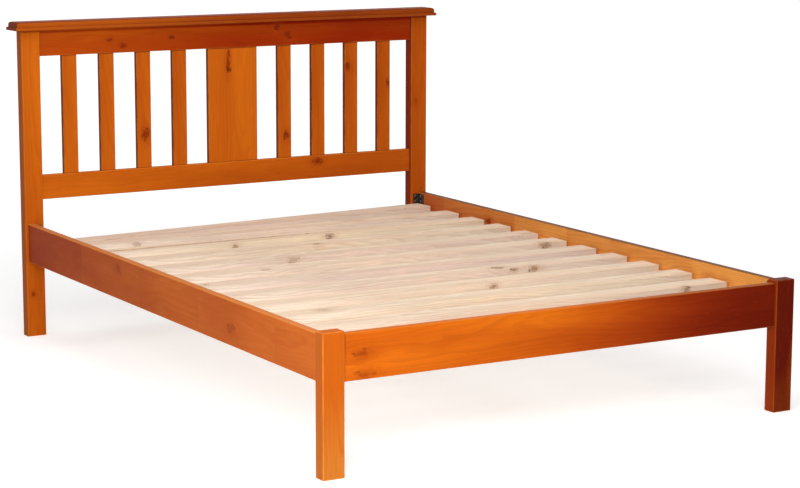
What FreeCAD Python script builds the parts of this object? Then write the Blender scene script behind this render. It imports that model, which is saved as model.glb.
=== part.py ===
import FreeCAD, Part
import Sketcher
import math
import os
import re

Vector = FreeCAD.Vector

# Driving dimensions of the bed frame, in millimetres
sizes = {
    # whole frame
    "bed_width": 1600,
    "frame_length": 2176,
    "fit_gap": 0.15,
    "arris_radius": 3,
    # posts
    "post_width": 67,
    "post_depth": 43,
    "foot_post_height": 402,
    "head_post_height": 1055,
    # foot rail and side rails
    "rail_thickness": 25,
    "rail_height": 132,
    "rail_bottom": 261,
    "rail_inset": 9,
    # tenons on the foot rail and the head rails
    "tenon_length": 25,
    "tenon_thickness": 12,
    "tenon_shoulder": 12,
    # headboard
    "top_rail_height": 90,
    "lower_rail_height": 84,
    "lower_rail_bottom": 473,
    "head_rail_thickness": 25,
    "head_slats_per_side": 4,
    "head_slat_width": 54,
    "head_slat_thickness": 18,
    "head_panel_width": 194,
    "housing_depth": 12,
    "slat_arris": 2,
    # moulded cap
    "cap_thickness": 28,
    "cap_overhang": 26,
    "cap_fillet": 5,
    "bead_radius": 6,
    "cap_flat": 8,
    "dowel_diameter": 10,
    "dowel_in_cap": 16,
    "dowel_in_post": 26,
    "dowel_spacing": 480,
    # bed slats and their ledges
    "bed_slat_count": 12,
    "bed_slat_width": 84,
    "bed_slat_thickness": 22,
    "bed_slat_end_gap": 16,
    "slat_drop": 38,
    "slat_head_gap": 58,
    "slat_foot_gap": 50,
    "askew_head_gap": 30,
    "askew_foot_gap": 3,
    "ledge_width": 32,
    "ledge_height": 40,
    "ledge_end_gap": 5,
    "ledge_screw_count": 5,
    "ledge_screw_inset": 90,
    # beam under the slats, its legs and its cleat
    "beam_width": 35,
    "beam_height": 68,
    "leg_lap": 20,
    "leg_depth": 55,
    "leg_lap_height": 54,
    "head_leg_inset": 160,
    "leg_screw_spacing": 26,
    "cleat_length": 110,
    "cleat_depth": 30,
    "cleat_height": 34,
    "cleat_screw_inset": 18,
    # corner brackets and their bolts
    "bracket_height": 100,
    "bracket_thickness": 3,
    "bracket_post_leg": 22,
    "bracket_rail_leg": 40,
    "bracket_bend": 3,
    "bracket_drop": 6,
    "bolt_diameter": 6,
    "bolt_head_diameter": 12,
    "bolt_head_height": 4,
    "bolt_head_rounding": 2.4,
    "bolt_length": 16,
    "bolt_end_margin": 9,
    "bolt_step": 19,
    # wood screws
    "screw_diameter": 5,
    "screw_head_diameter": 10,
    "screw_head_height": 3,
    "screw_head_rounding": 1.8,
    "screw_grip": 15,
}

# Sizes and places that follow from the driving dimensions
worked_out = {
    "foot_front": "-(frame_length + cap_overhang) / 2",
    "foot_middle": "foot_front + post_depth / 2",
    "foot_back": "foot_front + post_depth",
    "head_front": "foot_front + frame_length - post_depth",
    "head_middle": "head_front + post_depth / 2",
    "between_posts": "bed_width - 2 * post_width",
    "post_middle_x": "bed_width / 2 - post_width / 2",
    "rail_top": "rail_bottom + rail_height",
    "rail_middle_x": "bed_width / 2 - rail_inset - rail_thickness / 2",
    "rail_face_x": "bed_width / 2 - rail_inset - rail_thickness",
    "side_rail_length": "head_front - foot_back",
    "side_middle": "(head_front + foot_back) / 2",
    "foot_rail_back": "foot_middle + rail_thickness / 2",
    "top_rail_bottom": "head_post_height - top_rail_height",
    "lower_rail_top": "lower_rail_bottom + lower_rail_height",
    "infill_height": "top_rail_bottom - lower_rail_top + 2 * housing_depth",
    "infill_bottom": "lower_rail_top - housing_depth",
    "infill_gap": "(between_posts - head_panel_width - 2 * head_slats_per_side * head_slat_width)"
                  " / (2 * head_slats_per_side + 2)",
    "infill_pitch": "head_slat_width + infill_gap",
    "inner_slat_x": "head_panel_width / 2 + infill_gap + head_slat_width / 2",
    "slat_bottom": "rail_top - slat_drop - bed_slat_thickness",
    "bed_slat_length": "2 * rail_face_x - 2 * bed_slat_end_gap",
    "slat_pitch": "(head_front - foot_rail_back - slat_head_gap - slat_foot_gap - bed_slat_width)"
                  " / (bed_slat_count - 1)",
    "first_slat": "head_front - slat_head_gap - bed_slat_width / 2",
    "askew_front": "first_slat - slat_pitch + bed_slat_width / 2 + askew_foot_gap",
    "askew_back": "head_front - askew_head_gap",
    "askew_middle": "(askew_front + askew_back) / 2",
    "askew_angle": "asin((askew_back - askew_front - bed_slat_width) / bed_slat_length)",
    "ledge_length": "side_rail_length - 2 * bracket_rail_leg - 2 * ledge_end_gap",
    "ledge_x": "rail_face_x - ledge_width / 2",
    "ledge_bottom": "slat_bottom - ledge_height",
    "ledge_screw_pitch": "(ledge_length - 2 * ledge_screw_inset) / (ledge_screw_count - 1)",
    "beam_bottom": "slat_bottom - beam_height",
    "beam_end": "head_front - slat_head_gap",
    "beam_length": "beam_end - foot_rail_back",
    "beam_middle": "(beam_end + foot_rail_back) / 2",
    "head_leg_y": "beam_end - head_leg_inset",
    "leg_screw_z": "beam_bottom + leg_lap_height / 2",
    "cleat_y": "foot_rail_back + cleat_depth / 2",
    "cleat_screw_x": "cleat_length / 2 - cleat_screw_inset",
    "cleat_screw_z": "beam_bottom + cleat_height / 2",
    "bracket_middle": "rail_top - bracket_drop - bracket_height / 2",
    "outer_bolt_z": "bracket_height / 2 - bolt_end_margin",
    "inner_bolt_z": "bracket_height / 2 - bolt_end_margin - bolt_step",
    "post_bolt_inset": "(bracket_post_leg + bracket_thickness + bracket_bend) / 2",
    "post_bolt_x": "rail_face_x - post_bolt_inset",
    "rail_bolt_inset": "(bracket_rail_leg + bracket_thickness) / 2",
    "bolt_hole": "bolt_diameter + 2 * fit_gap",
    "bolt_hole_depth": "bolt_length - bracket_thickness + fit_gap",
    "screw_hole": "screw_diameter + 2 * fit_gap",
    "screw_pilot": "screw_grip + fit_gap",
    "dowel_hole": "dowel_diameter + 2 * fit_gap",
    "mortise_thickness": "tenon_thickness + 2 * fit_gap",
    "mortise_depth": "tenon_length + fit_gap",
    "ovolo_radius": "cap_thickness - cap_fillet - bead_radius - cap_flat",
    "cap_half_length": "bed_width / 2 + cap_overhang",
    "cap_half_depth": "post_depth / 2 + cap_overhang",
}

doc = FreeCAD.newDocument("bed_frame")
sheet = doc.addObject("Spreadsheet::Sheet", "dims")
for row, (name, value) in enumerate(sizes.items(), start=1):
    sheet.set(f"A{row}", name)
    sheet.set(f"B{row}", str(value))
    sheet.setAlias(f"B{row}", name)
for row, (name, formula) in enumerate(worked_out.items(), start=1):
    sheet.set(f"D{row}", name)
    sheet.set(f"E{row}", "=" + formula)
    sheet.setAlias(f"E{row}", name)
doc.recompute()

pieces = {}
sides = {"left": -1, "right": 1}


def size(name):
    return float(sheet.get(name))


def bind(item, field, formula):
    item.setExpression(field, re.sub(r"[a-z]\w+", r"dims.\g<0>", formula))


def add_body(label, x="0", y="0", z="0"):
    body = doc.addObject("PartDesign::Body", label)
    body.Label = label
    for field, formula in zip("xyz", (x, y, z)):
        bind(body, "Placement.Base." + field, formula)
    return body


def add_sketch(body, name, plane, at=("0", "0", "0")):
    sketch = body.newObject("Sketcher::SketchObject", f"{body.Label}_{name}_sketch")
    support = [item for item in body.Origin.OriginFeatures if item.Role == plane][0]
    sketch.AttachmentSupport = [(support, "")]
    sketch.MapMode = "FlatFace"
    for field, formula in zip("xyz", at):
        bind(sketch, "AttachmentOffset.Base." + field, formula)
    return sketch


def name_size(sketch, constraint, name, formula):
    sketch.renameConstraint(constraint, name)
    bind(sketch, "Constraints." + name, formula)


# A rectangle centred on the sketch's origin
def draw_rectangle(sketch, width, height):
    corners = [Vector(-20, -10), Vector(20, -10), Vector(20, 10), Vector(-20, 10)]
    for start, end in zip(corners, corners[1:] + corners[:1]):
        sketch.addGeometry(Part.LineSegment(start, end))
    for line in range(4):
        sketch.addConstraint(Sketcher.Constraint("Coincident", line, 2, (line + 1) % 4, 1))
        sketch.addConstraint(Sketcher.Constraint("Vertical" if line % 2 else "Horizontal", line))
    sketch.addConstraint(Sketcher.Constraint("Symmetric", 0, 1, 1, 2, -1, 1))
    across = sketch.addConstraint(Sketcher.Constraint("DistanceX", 0, 1, 0, 2, 40))
    name_size(sketch, across, "width", width)
    upward = sketch.addConstraint(Sketcher.Constraint("DistanceY", 1, 1, 1, 2, 20))
    name_size(sketch, upward, "height", height)


def draw_circle(sketch, diameter):
    sketch.addGeometry(Part.Circle(Vector(), Vector(0, 0, 1), 5))
    sketch.addConstraint(Sketcher.Constraint("Coincident", 0, 3, -1, 1))
    across = sketch.addConstraint(Sketcher.Constraint("Diameter", 0, 10))
    name_size(sketch, across, "diameter", diameter)


def add_pad(body, sketch, name, length, both_ways=False):
    pad = body.newObject("PartDesign::Pad", f"{body.Label}_{name}")
    pad.Profile = sketch
    pad.Midplane = both_ways
    bind(pad, "Length", length)
    return pad


def add_pocket(body, sketch, name, depth, along_normal):
    pocket = body.newObject("PartDesign::Pocket", f"{body.Label}_{name}")
    pocket.Profile = sketch
    pocket.Reversed = along_normal
    bind(pocket, "Length", depth)
    return pocket


def cut_box(body, name, plane, at, width, height, depth, along_normal=False):
    sketch = add_sketch(body, name, plane, at)
    draw_rectangle(sketch, width, height)
    return add_pocket(body, sketch, name, depth, along_normal)


def cut_hole(body, name, plane, at, diameter, depth, along_normal=False):
    sketch = add_sketch(body, name, plane, at)
    draw_circle(sketch, diameter)
    return add_pocket(body, sketch, name, depth, along_normal)


# Rounds the edges that run along one direction, and the rim of the top where that shows
def ease_edges(body, base, direction, radius, round_top):
    doc.recompute()
    top = base.Shape.BoundBox.ZMax
    picked = []
    for number, edge in enumerate(base.Shape.Edges, start=1):
        along = abs(abs(edge.tangentAt(edge.FirstParameter).dot(direction)) - 1) < 1e-6
        on_rim = round_top and edge.BoundBox.ZMin > top - size("fit_gap")
        if along or on_rim:
            picked.append(f"Edge{number}")
    fillet = body.newObject("PartDesign::Fillet", f"{body.Label}_arrises")
    fillet.Base = (base, picked)
    bind(fillet, "Radius", radius)
    return fillet


# A board centred on its place, standing on it, with its long edges eased
def add_board(label, place, width, depth, height, grain, radius="arris_radius", round_top=False):
    body = add_body(label, *place)
    sketch = add_sketch(body, "outline", "XY_Plane")
    draw_rectangle(sketch, width, depth)
    board = add_pad(body, sketch, "board", height)
    ease_edges(body, board, grain, radius, round_top)
    pieces[label] = body
    return body


ALONG_X = Vector(1, 0, 0)
ALONG_Y = Vector(0, 1, 0)
ALONG_Z = Vector(0, 0, 1)


# One bar through the whole rail leaves a tenon at each end
def add_tenons(body, length, rail_height):
    sketch = add_sketch(body, "tenon", "XY_Plane", ("0", "0", "tenon_shoulder"))
    draw_rectangle(sketch, f"{length} + 2 * tenon_length", "tenon_thickness")
    add_pad(body, sketch, "tenon", f"{rail_height} - 2 * tenon_shoulder")


# A mortise in the inner side of a post for a rail of the given place and height
def cut_mortise(body, name, side, rail_base, rail_height):
    middle = f"{rail_base} + {rail_height} / 2"
    face = f"{-side} * post_width / 2"
    height = f"{rail_height} - 2 * tenon_shoulder + 2 * fit_gap"
    at = ("0", middle, face)
    cut_box(body, name, "YZ_Plane", at, "mortise_thickness", height, "mortise_depth", side > 0)


bolt_rows = ["outer_bolt_z", "inner_bolt_z", "-inner_bolt_z", "-outer_bolt_z"]


# Bolt holes in the post face that the corner bracket lies on
def cut_post_bolt_holes(body, side, face, along_normal):
    for number, row in enumerate(bolt_rows, start=1):
        at = (f"{side} * (post_bolt_x - post_middle_x)", f"bracket_middle + ({row})", face)
        cut_hole(body, f"bolt_{number}", "XZ_Plane", at, "bolt_hole", "bolt_hole_depth", along_normal)


# Head posts
for hand, side in sides.items():
    place = (f"{side} * post_middle_x", "head_middle", "0")
    post = add_board(f"head_post_{hand}", place, "post_width", "post_depth", "head_post_height", ALONG_Z)
    cut_mortise(post, "lower_mortise", side, "lower_rail_bottom", "lower_rail_height")
    cut_mortise(post, "top_mortise", side, "top_rail_bottom", "top_rail_height")
    cut_hole(post, "dowel", "XY_Plane", ("0", "0", "head_post_height"), "dowel_hole", "dowel_in_post")
    cut_post_bolt_holes(post, side, "post_depth / 2", False)

# Foot posts, eased round the top as well
for hand, side in sides.items():
    place = (f"{side} * post_middle_x", "foot_middle", "0")
    post = add_board(f"foot_post_{hand}", place, "post_width", "post_depth", "foot_post_height", ALONG_Z,
                     round_top=True)
    cut_mortise(post, "mortise", side, "rail_bottom", "rail_height")
    cut_post_bolt_holes(post, side, "-post_depth / 2", True)

# Foot rail between the foot posts
place = ("0", "foot_middle", "rail_bottom")
foot_rail = add_board("foot_rail", place, "between_posts", "rail_thickness", "rail_height", ALONG_X)
add_tenons(foot_rail, "between_posts", "rail_height")
for hand, side in sides.items():
    at = (f"{side} * cleat_screw_x", "cleat_screw_z - rail_bottom", "-rail_thickness / 2")
    cut_hole(foot_rail, f"screw_{hand}", "XZ_Plane", at, "screw_hole", "screw_pilot", True)


def ledge_screw_offset(number):
    return f"{number} * ledge_screw_pitch - ledge_length / 2 + ledge_screw_inset"


# Side rails, and the ledges inside them that carry the slats
for hand, side in sides.items():
    place = (f"{side} * rail_middle_x", "side_middle", "rail_bottom")
    rail = add_board(f"side_rail_{hand}", place, "rail_thickness", "side_rail_length", "rail_height",
                     ALONG_Y)
    inner_face = f"{-side} * rail_thickness / 2"
    for end, sign in (("foot", -1), ("head", 1)):
        for number, row in enumerate(bolt_rows, start=1):
            along = f"{sign} * (side_rail_length / 2 - rail_bolt_inset)"
            at = (along, f"bracket_middle - rail_bottom + ({row})", inner_face)
            name = f"{end}_bolt_{number}"
            cut_hole(rail, name, "YZ_Plane", at, "bolt_hole", "bolt_hole_depth", side > 0)

    place = (f"{side} * ledge_x", "side_middle", "ledge_bottom")
    ledge = add_board(f"slat_ledge_{hand}", place, "ledge_width", "ledge_length", "ledge_height",
                      ALONG_Y, "slat_arris")
    for number in range(int(size("ledge_screw_count"))):
        along = ledge_screw_offset(number)
        at = (along, "ledge_bottom - rail_bottom + ledge_height / 2", inner_face)
        cut_hole(rail, f"screw_{number + 1}", "YZ_Plane", at, "screw_hole", "screw_pilot", side > 0)
        at = (along, "ledge_height / 2", f"{-side} * ledge_width / 2")
        cut_hole(ledge, f"screw_{number + 1}", "YZ_Plane", at, "screw_hole", "ledge_width", side > 0)

# Upright slats of the headboard and the wide panel in their middle
head_slats = [f"-inner_slat_x - {number} * infill_pitch"
              for number in reversed(range(int(size("head_slats_per_side"))))]
head_slats += [f"inner_slat_x + {number} * infill_pitch"
               for number in range(int(size("head_slats_per_side")))]
infill = {f"head_slat_{number}": (x, "head_slat_width") for number, x in enumerate(head_slats, start=1)}
infill["head_panel"] = ("0", "head_panel_width")
for label, (x, width) in infill.items():
    place = (x, "head_middle", "infill_bottom")
    add_board(label, place, width, "head_slat_thickness", "infill_height", ALONG_Z, "slat_arris")


# A rail across the head posts, with a housing for each slat and the panel
def add_head_rail(label, base, height, housing_level, upward):
    place = ("0", "head_middle", base)
    rail = add_board(label, place, "between_posts", "head_rail_thickness", height, ALONG_X)
    add_tenons(rail, "between_posts", height)
    for name, (x, width) in infill.items():
        cut_box(rail, f"{name}_housing", "XY_Plane", (x, "0", housing_level), f"{width} + 2 * fit_gap",
                "head_slat_thickness + 2 * fit_gap", "housing_depth", upward)
    return rail


add_head_rail("head_lower_rail", "lower_rail_bottom", "lower_rail_height", "lower_rail_height", False)
top_rail = add_head_rail("head_top_rail", "top_rail_bottom", "top_rail_height", "0", True)
dowel_places = ["-post_middle_x", "-dowel_spacing", "0", "dowel_spacing", "post_middle_x"]
for number, x in enumerate(dowel_places[1:-1], start=1):
    at = (x, "0", "top_rail_height")
    cut_hole(top_rail, f"dowel_{number}", "XY_Plane", at, "dowel_hole", "dowel_in_post")


# The cap's section: a narrow fillet at the bottom, then a quarter bead, a flat and an ovolo up to the top
def draw_cap_section(sketch, reach):
    outer = size(reach)
    fillet = size("cap_fillet")
    bead = size("bead_radius")
    ovolo = size("ovolo_radius")
    top = size("cap_thickness")
    shoulder = top - ovolo
    edge = outer - bead
    upper = edge - ovolo
    right_bead = Part.Circle(Vector(edge, fillet), ALONG_Z, bead)
    right_ovolo = Part.Circle(Vector(upper, shoulder), ALONG_Z, ovolo)
    left_ovolo = Part.Circle(Vector(-upper, shoulder), ALONG_Z, ovolo)
    left_bead = Part.Circle(Vector(-edge, fillet), ALONG_Z, bead)
    quarter = math.pi / 2
    outline = [
        Part.LineSegment(Vector(-outer, 0), Vector(outer, 0)),
        Part.LineSegment(Vector(outer, 0), Vector(outer, fillet)),
        Part.ArcOfCircle(right_bead, 0, quarter),
        Part.LineSegment(Vector(edge, fillet + bead), Vector(edge, shoulder)),
        Part.ArcOfCircle(right_ovolo, 0, quarter),
        Part.LineSegment(Vector(upper, top), Vector(-upper, top)),
        Part.ArcOfCircle(left_ovolo, quarter, 2 * quarter),
        Part.LineSegment(Vector(-edge, shoulder), Vector(-edge, fillet + bead)),
        Part.ArcOfCircle(left_bead, quarter, 2 * quarter),
        Part.LineSegment(Vector(-outer, fillet), Vector(-outer, 0)),
    ]
    sketch.addGeometry(outline)
    count = len(outline)
    for piece in range(count):
        sketch.addConstraint(Sketcher.Constraint("Coincident", piece, 2, (piece + 1) % count, 1))
    sketch.addConstraint(Sketcher.Constraint("PointOnObject", 0, 1, -1))
    sketch.addConstraint(Sketcher.Constraint("Symmetric", 0, 1, 0, 2, -2))
    sketch.addConstraint(Sketcher.Constraint("Horizontal", 5))
    for line in (1, 3, 7, 9):
        sketch.addConstraint(Sketcher.Constraint("Vertical", line))
    for arc in (2, 4):
        sketch.addConstraint(Sketcher.Constraint("Horizontal", arc, 1, arc, 3))
        sketch.addConstraint(Sketcher.Constraint("Vertical", arc, 2, arc, 3))
    for arc in (6, 8):
        sketch.addConstraint(Sketcher.Constraint("Vertical", arc, 1, arc, 3))
        sketch.addConstraint(Sketcher.Constraint("Horizontal", arc, 2, arc, 3))
    for right, left in ((1, 9), (2, 8), (4, 6)):
        sketch.addConstraint(Sketcher.Constraint("Equal", right, left))
    across = sketch.addConstraint(Sketcher.Constraint("DistanceX", 0, 1, 0, 2, 2 * outer))
    name_size(sketch, across, "width", f"2 * {reach}")
    foot = sketch.addConstraint(Sketcher.Constraint("DistanceY", 1, 1, 1, 2, fillet))
    name_size(sketch, foot, "fillet", "cap_fillet")
    bead_size = sketch.addConstraint(Sketcher.Constraint("Radius", 2, bead))
    name_size(sketch, bead_size, "bead", "bead_radius")
    flat = sketch.addConstraint(Sketcher.Constraint("DistanceY", 3, 1, 3, 2, shoulder - fillet - bead))
    name_size(sketch, flat, "flat", "cap_flat")
    rise = sketch.addConstraint(Sketcher.Constraint("DistanceY", 0, 2, 5, 1, top))
    name_size(sketch, rise, "rise", "cap_thickness")


# The cap is what the long moulding and the end moulding have in common, so its corners are mitred
def add_cap_moulding(label, plane, reach, length):
    body = add_body(label, "0", "head_middle", "head_post_height")
    sketch = add_sketch(body, "section", plane)
    draw_cap_section(sketch, reach)
    add_pad(body, sketch, "moulding", f"2 * {length}", True)
    return body


long_moulding = add_cap_moulding("cap_long_moulding", "YZ_Plane", "cap_half_depth", "cap_half_length")
for number, x in enumerate(dowel_places, start=1):
    at = (x, "0", "0")
    cut_hole(long_moulding, f"dowel_{number}", "XY_Plane", at, "dowel_hole", "dowel_in_cap", True)
end_moulding = add_cap_moulding("cap_end_moulding", "XZ_Plane", "cap_half_length", "cap_half_depth")
head_cap = doc.addObject("Part::Common", "head_cap")
head_cap.Label = "head_cap"
head_cap.Base = long_moulding
head_cap.Tool = end_moulding
pieces["head_cap"] = head_cap

# Loose bed slats, numbered from the head
for number in range(int(size("bed_slat_count"))):
    place = ("0", f"first_slat - {number} * slat_pitch", "slat_bottom")
    add_board(f"bed_slat_{number + 1:02d}", place, "bed_slat_length", "bed_slat_width",
              "bed_slat_thickness", ALONG_X, "slat_arris")

# The first one lies askew, its left end slid down to the second
bind(pieces["bed_slat_01"], "Placement.Base.y", "askew_middle")
bind(pieces["bed_slat_01"], "Placement.Rotation.Angle", "askew_angle")

# Beam under the middle of the slats, notched over a cleat on the foot rail
place = ("0", "beam_middle", "beam_bottom")
beam = add_board("centre_beam", place, "beam_width", "beam_length", "beam_height", ALONG_Y, "slat_arris")
at = ("0", "cleat_y - beam_middle", "0")
cut_box(beam, "cleat_notch", "XY_Plane", at, "beam_width", "cleat_depth", "cleat_height", True)
place = ("0", "cleat_y", "beam_bottom")
cleat = add_board("beam_cleat", place, "cleat_length", "cleat_depth", "cleat_height", ALONG_X, "slat_arris")
for hand, side in sides.items():
    at = (f"{side} * cleat_screw_x", "cleat_height / 2", "-cleat_depth / 2")
    cut_hole(cleat, f"screw_{hand}", "XZ_Plane", at, "screw_hole", "cleat_depth", True)


def draw_stepped_outline(sketch, corners):
    count = len(corners)
    for number, corner in enumerate(corners):
        sketch.addGeometry(Part.LineSegment(Vector(*corner), Vector(*corners[(number + 1) % count])))
    for number, corner in enumerate(corners):
        level = corner[1] == corners[(number + 1) % count][1]
        sketch.addConstraint(Sketcher.Constraint("Coincident", number, 2, (number + 1) % count, 1))
        sketch.addConstraint(Sketcher.Constraint("Horizontal" if level else "Vertical", number))


# A leg under the beam, with a lap that stands up beside the beam
def add_leg(label, y):
    leg = add_body(label, "-beam_width / 2", y, "0")
    sketch = add_sketch(leg, "outline", "XZ_Plane")
    seat = size("beam_width")
    foot = seat + size("leg_lap")
    rise = size("beam_bottom")
    top = rise + size("leg_lap_height")
    draw_stepped_outline(sketch, [(0, 0), (foot, 0), (foot, top), (seat, top), (seat, rise), (0, rise)])
    sketch.addConstraint(Sketcher.Constraint("Coincident", 0, 1, -1, 1))
    foot_size = sketch.addConstraint(Sketcher.Constraint("DistanceX", 0, 1, 0, 2, foot))
    name_size(sketch, foot_size, "foot", "beam_width + leg_lap")
    seat_size = sketch.addConstraint(Sketcher.Constraint("DistanceX", 4, 2, 4, 1, seat))
    name_size(sketch, seat_size, "seat", "beam_width")
    lap_size = sketch.addConstraint(Sketcher.Constraint("DistanceY", 3, 2, 3, 1, top - rise))
    name_size(sketch, lap_size, "lap", "leg_lap_height")
    rise_size = sketch.addConstraint(Sketcher.Constraint("DistanceY", 5, 2, 5, 1, rise))
    name_size(sketch, rise_size, "rise", "beam_bottom")
    add_pad(leg, sketch, "leg", "leg_depth", True)
    for row in (-1, 1):
        along = f"{row} * leg_screw_spacing / 2"
        name = f"screw_{row + 2}"
        at = (along, "leg_screw_z", "beam_width + leg_lap")
        cut_hole(leg, name, "YZ_Plane", at, "screw_hole", "leg_lap")
        at = (f"{y} - beam_middle + {along}", "leg_screw_z - beam_bottom", "beam_width / 2")
        cut_hole(beam, f"{label}_{name}", "YZ_Plane", at, "screw_hole", "screw_pilot")
    pieces[label] = leg


legs = {"centre_leg_middle": "beam_middle", "centre_leg_head": "head_leg_y"}
for label, y in legs.items():
    add_leg(label, y)


# A bent steel angle in the corner between a post and a side rail
def add_bracket(label, x, y, turn):
    bracket = add_body(label, x, y, "bracket_middle")
    bracket.Placement.Rotation = turn
    sketch = add_sketch(bracket, "outline", "XY_Plane")
    across = -size("bracket_post_leg")
    along = -size("bracket_rail_leg")
    wall = -size("bracket_thickness")
    outline = [(0, 0), (across, 0), (across, wall), (wall, wall), (wall, along), (0, along)]
    draw_stepped_outline(sketch, outline)
    sketch.addConstraint(Sketcher.Constraint("Coincident", 0, 1, -1, 1))
    post_leg = sketch.addConstraint(Sketcher.Constraint("DistanceX", 0, 2, 0, 1, -across))
    name_size(sketch, post_leg, "post_leg", "bracket_post_leg")
    post_wall = sketch.addConstraint(Sketcher.Constraint("DistanceY", 1, 2, 1, 1, -wall))
    name_size(sketch, post_wall, "post_wall", "bracket_thickness")
    rail_wall = sketch.addConstraint(Sketcher.Constraint("DistanceX", 4, 1, 4, 2, -wall))
    name_size(sketch, rail_wall, "rail_wall", "bracket_thickness")
    rail_leg = sketch.addConstraint(Sketcher.Constraint("DistanceY", 5, 1, 5, 2, -along))
    name_size(sketch, rail_leg, "rail_leg", "bracket_rail_leg")
    angle = add_pad(bracket, sketch, "angle", "bracket_height", True)
    doc.recompute()
    inner = [f"Edge{number}" for number, edge in enumerate(angle.Shape.Edges, start=1)
             if is_inner_corner(edge)]
    bend = bracket.newObject("PartDesign::Fillet", f"{label}_bend")
    bend.Base = (angle, inner)
    bind(bend, "Radius", "bracket_bend")
    for number, row in enumerate(bolt_rows, start=1):
        at = ("-post_bolt_inset", row, "bracket_thickness")
        cut_hole(bracket, f"post_hole_{number}", "XZ_Plane", at, "bolt_hole", "bracket_thickness")
        at = ("-rail_bolt_inset", row, "-bracket_thickness")
        cut_hole(bracket, f"rail_hole_{number}", "YZ_Plane", at, "bolt_hole", "bracket_thickness", True)
    pieces[label] = bracket


# The corner where the two legs of an angle meet on the inside
def is_inner_corner(edge):
    middle = edge.CenterOfMass
    wall = size("bracket_thickness")
    return abs(middle.x + wall) < 1e-6 and abs(middle.y + wall) < 1e-6


half_turn = 180
corners = {
    "bracket_head_right": ("rail_face_x", "head_front", FreeCAD.Rotation()),
    "bracket_head_left": ("-rail_face_x", "head_front", FreeCAD.Rotation(ALONG_Y, half_turn)),
    "bracket_foot_right": ("rail_face_x", "foot_back", FreeCAD.Rotation(ALONG_X, half_turn)),
    "bracket_foot_left": ("-rail_face_x", "foot_back", FreeCAD.Rotation(ALONG_Z, half_turn)),
}
for label, (x, y, turn) in corners.items():
    add_bracket(label, x, y, turn)


# A fastener with a rounded head above its seat and a plain shank that runs down from it
def make_fastener(kind, shank_length):
    head_height = size(f"{kind}_head_height")
    head = Part.makeCylinder(size(f"{kind}_head_diameter") / 2, head_height)
    rim = [edge for edge in head.Edges if edge.Closed and edge.CenterOfMass.z > head_height / 2]
    head = head.makeFillet(size(f"{kind}_head_rounding"), rim)
    shank = Part.makeCylinder(size(f"{kind}_diameter") / 2, shank_length, Vector(0, 0, -shank_length))
    return head.fuse(shank)


# One node of equal fasteners, each at a seat with the direction that its head faces
def add_fasteners(label, form, seats):
    placed = []
    for place, outward in seats:
        turn = FreeCAD.Rotation(ALONG_Z, outward)
        fastener = form.copy()
        fastener.Placement = FreeCAD.Placement(place, turn)
        placed.append(fastener)
    group = doc.addObject("Part::Feature", label)
    group.Label = label
    group.Shape = Part.makeCompound(placed)
    pieces[label] = group


bolt_seats = []
row_heights = [size("outer_bolt_z"), size("inner_bolt_z"), -size("inner_bolt_z"), -size("outer_bolt_z")]
for side in sides.values():
    for face, inward in ((size("head_front"), -1), (size("foot_back"), 1)):
        for row in row_heights:
            level = size("bracket_middle") + row
            post_seat = Vector(side * size("post_bolt_x"), face + inward * size("bracket_thickness"), level)
            bolt_seats.append((post_seat, inward * ALONG_Y))
            rail_seat = Vector(side * (size("rail_face_x") - size("bracket_thickness")),
                               face + inward * size("rail_bolt_inset"), level)
            bolt_seats.append((rail_seat, -side * ALONG_X))
add_fasteners("bracket_bolts", make_fastener("bolt", size("bolt_length")), bolt_seats)


# A wood screw through a board of the given thickness
def wood_screw(through):
    return make_fastener("screw", size(through) + size("screw_grip"))


ledge_seats = []
for side in sides.values():
    for number in range(int(size("ledge_screw_count"))):
        along = number * size("ledge_screw_pitch") - size("ledge_length") / 2 + size("ledge_screw_inset")
        seat = Vector(side * (size("rail_face_x") - size("ledge_width")), size("side_middle") + along,
                      size("ledge_bottom") + size("ledge_height") / 2)
        ledge_seats.append((seat, -side * ALONG_X))
add_fasteners("ledge_screws", wood_screw("ledge_width"), ledge_seats)

cleat_seats = []
for side in sides.values():
    face = size("foot_rail_back") + size("cleat_depth")
    seat = Vector(side * size("cleat_screw_x"), face, size("cleat_screw_z"))
    cleat_seats.append((seat, ALONG_Y))
add_fasteners("cleat_screws", wood_screw("cleat_depth"), cleat_seats)

leg_seats = []
for y in legs.values():
    for row in (-1, 1):
        along = size(y) + row * size("leg_screw_spacing") / 2
        seat = Vector(size("beam_width") / 2 + size("leg_lap"), along, size("leg_screw_z"))
        leg_seats.append((seat, ALONG_X))
add_fasteners("leg_screws", wood_screw("leg_lap"), leg_seats)

# Dowels that hold the cap on the posts and the top rail
dowel_length = size("dowel_in_cap") + size("dowel_in_post")
dowels = []
for x in (-size("post_middle_x"), -size("dowel_spacing"), 0, size("dowel_spacing"), size("post_middle_x")):
    base = Vector(x, size("head_middle"), size("head_post_height") - size("dowel_in_post"))
    dowels.append(Part.makeCylinder(size("dowel_diameter") / 2, dowel_length, base))
cap_dowels = doc.addObject("Part::Feature", "cap_dowels")
cap_dowels.Label = "cap_dowels"
cap_dowels.Shape = Part.makeCompound(dowels)
pieces["cap_dowels"] = cap_dowels

doc.recompute()

# Every feature is sound, every sketch is fixed, every cut removes material and every piece is a valid solid
for item in doc.Objects:
    if "Invalid" in item.State or "Error" in item.State:
        raise RuntimeError(f"{item.Label} failed: {item.State}")
    if item.TypeId == "Sketcher::SketchObject" and not item.FullyConstrained:
        raise RuntimeError(f"{item.Label} is not fully constrained")
    if item.TypeId == "PartDesign::Pocket":
        removed = item.BaseFeature.Shape.Volume - item.Shape.Volume
        if removed < 1:
            raise RuntimeError(f"{item.Label} cuts nothing")
for label, piece in pieces.items():
    if piece.Shape.isNull() or not piece.Shape.isValid():
        raise RuntimeError(f"{label} has no valid shape")

os.makedirs("parts", exist_ok=True)
for label, piece in pieces.items():
    piece.Shape.exportStep(f"parts/{label}.step")
print(len(pieces), "pieces written")
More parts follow.
